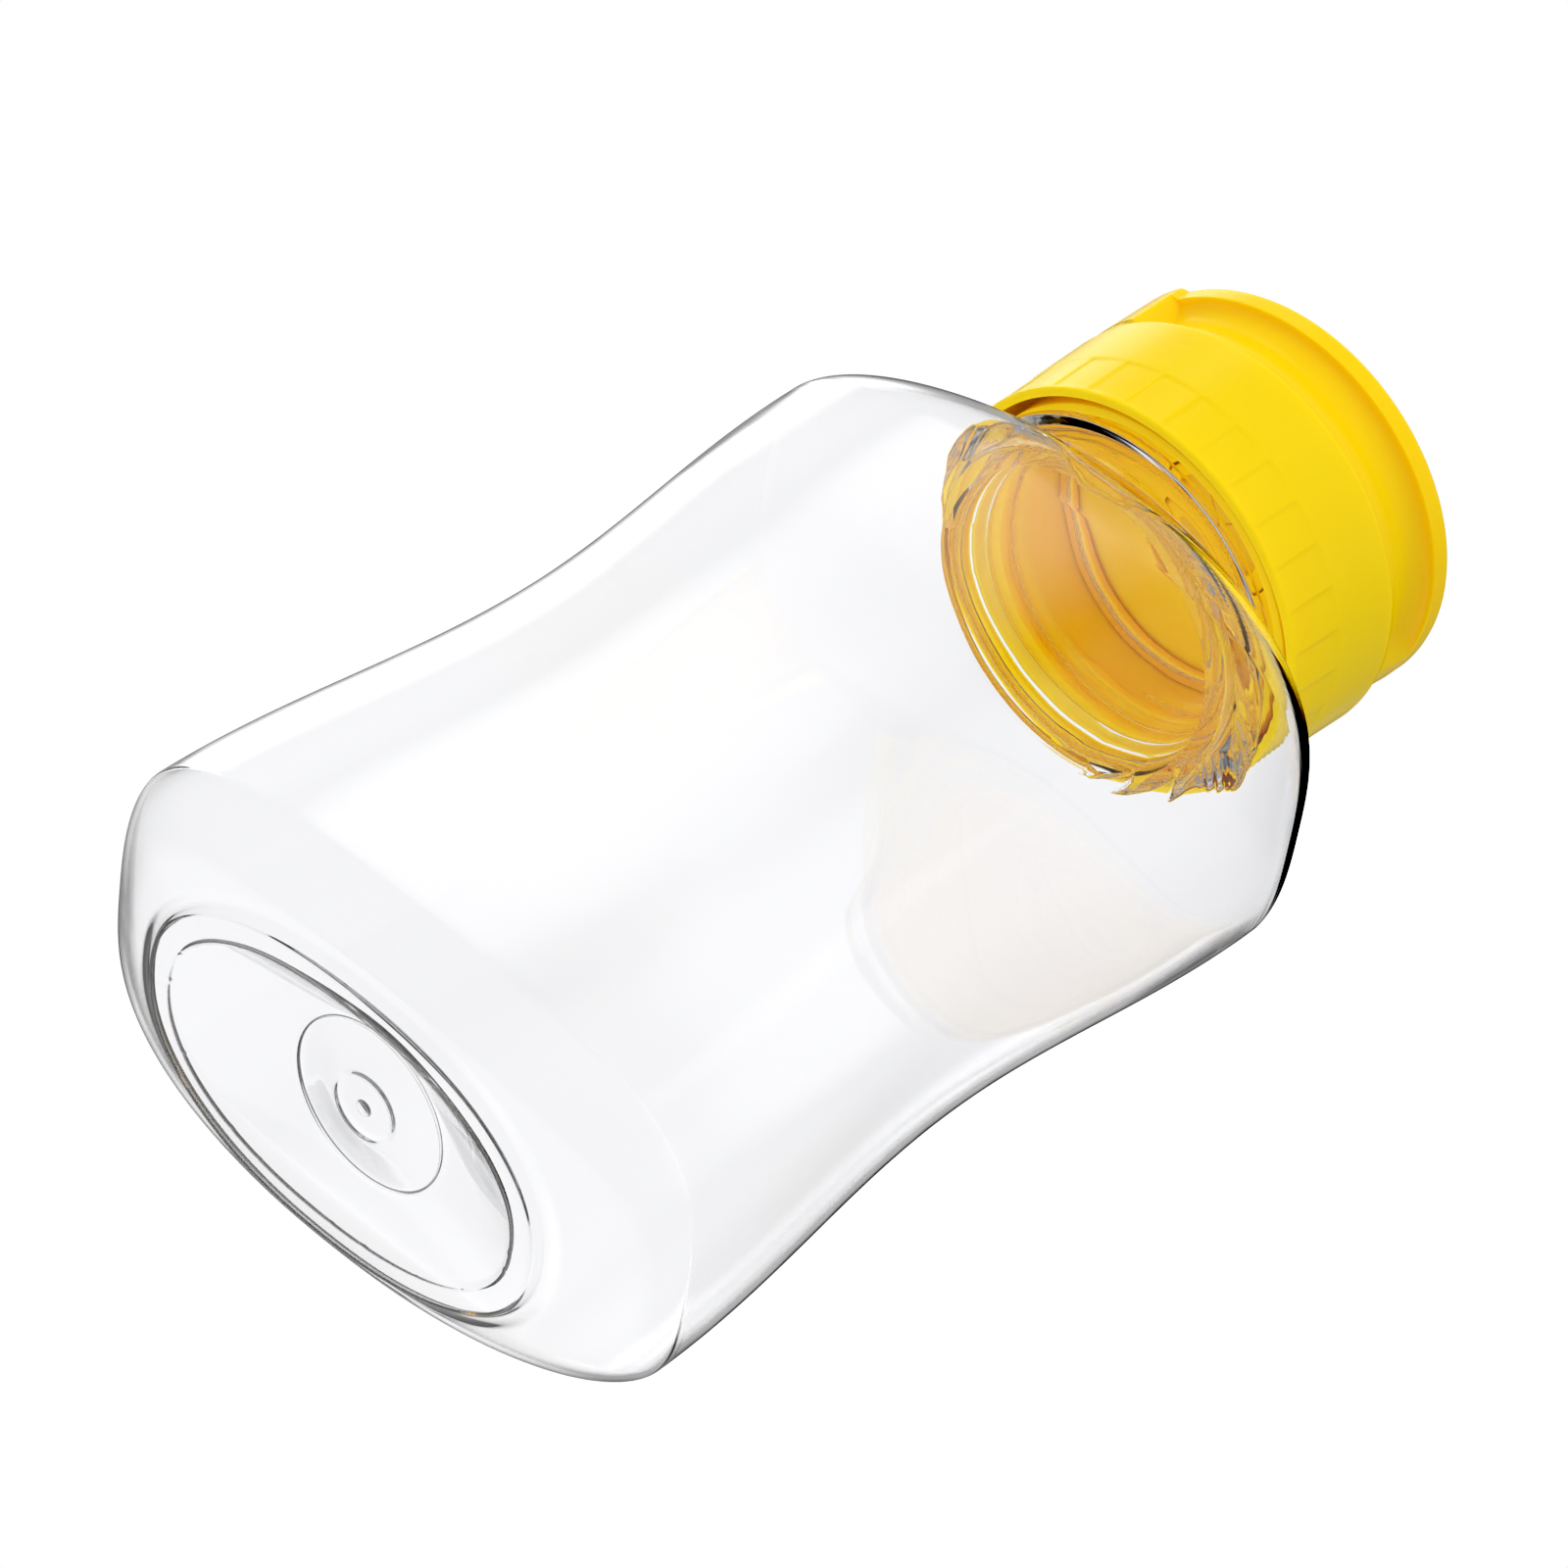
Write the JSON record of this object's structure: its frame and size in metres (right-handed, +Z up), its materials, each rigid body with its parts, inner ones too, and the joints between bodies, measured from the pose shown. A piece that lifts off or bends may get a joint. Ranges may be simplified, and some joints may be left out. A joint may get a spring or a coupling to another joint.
{
  "type": "plastic honey bottle",
  "caption": "Clear waisted squeeze bottle of rounded-rectangular section on a foot ring, with a yellow flip-top screw cap.",
  "frame": {"origin": "middle of the foot ring, on the surface that the bottle stands on", "axes": "+Z up through the neck and cap, X along the wide side, Y through the narrow side"},
  "size_m": [0.0718, 0.0458, 0.135],
  "materials": {
    "clear_pet": "clear blown PET, glossy",
    "cap_yellow": "moulded polypropylene, glossy",
    "lid_yellow": "moulded polypropylene, glossy",
    "silicone": "translucent amber silicone",
    "soft_liner": "soft polyethylene washer"
  },
  "bodies": {
    "bottle": {"bottle_shell": "clear_pet"},
    "washer": {"neck_gasket": "soft_liner"},
    "cap": {"cap_body": "cap_yellow", "silicone_valve": "silicone", "valve_retainer": "cap_yellow", "hinge_web": "lid_yellow"},
    "lid": {"flip_lid": "lid_yellow"}
  },
  "joints": [
    {"name": "cap_lift", "type": "slide", "parent": "bottle", "child": "washer", "axis": [0, 0, 1], "range_m": [0, 0.00526]},
    {"name": "cap_turn", "type": "hinge", "parent": "washer", "child": "cap", "pos_m": [0, 0, 0.12], "axis": [0, 0, 1], "range_deg": [0, 450]},
    {"name": "lid_flip", "type": "hinge", "parent": "cap", "child": "lid", "pos_m": [-0.01963, -0.01217, 0.12515], "axis": [0.527, -0.8499, 0], "range_deg": [0, 155], "deforming": ["hinge_web"]}
  ],
  "couplings": [
    {"joint": "cap_lift", "follows": "cap_turn", "m_per_rad": 0.00066845}
  ]
}
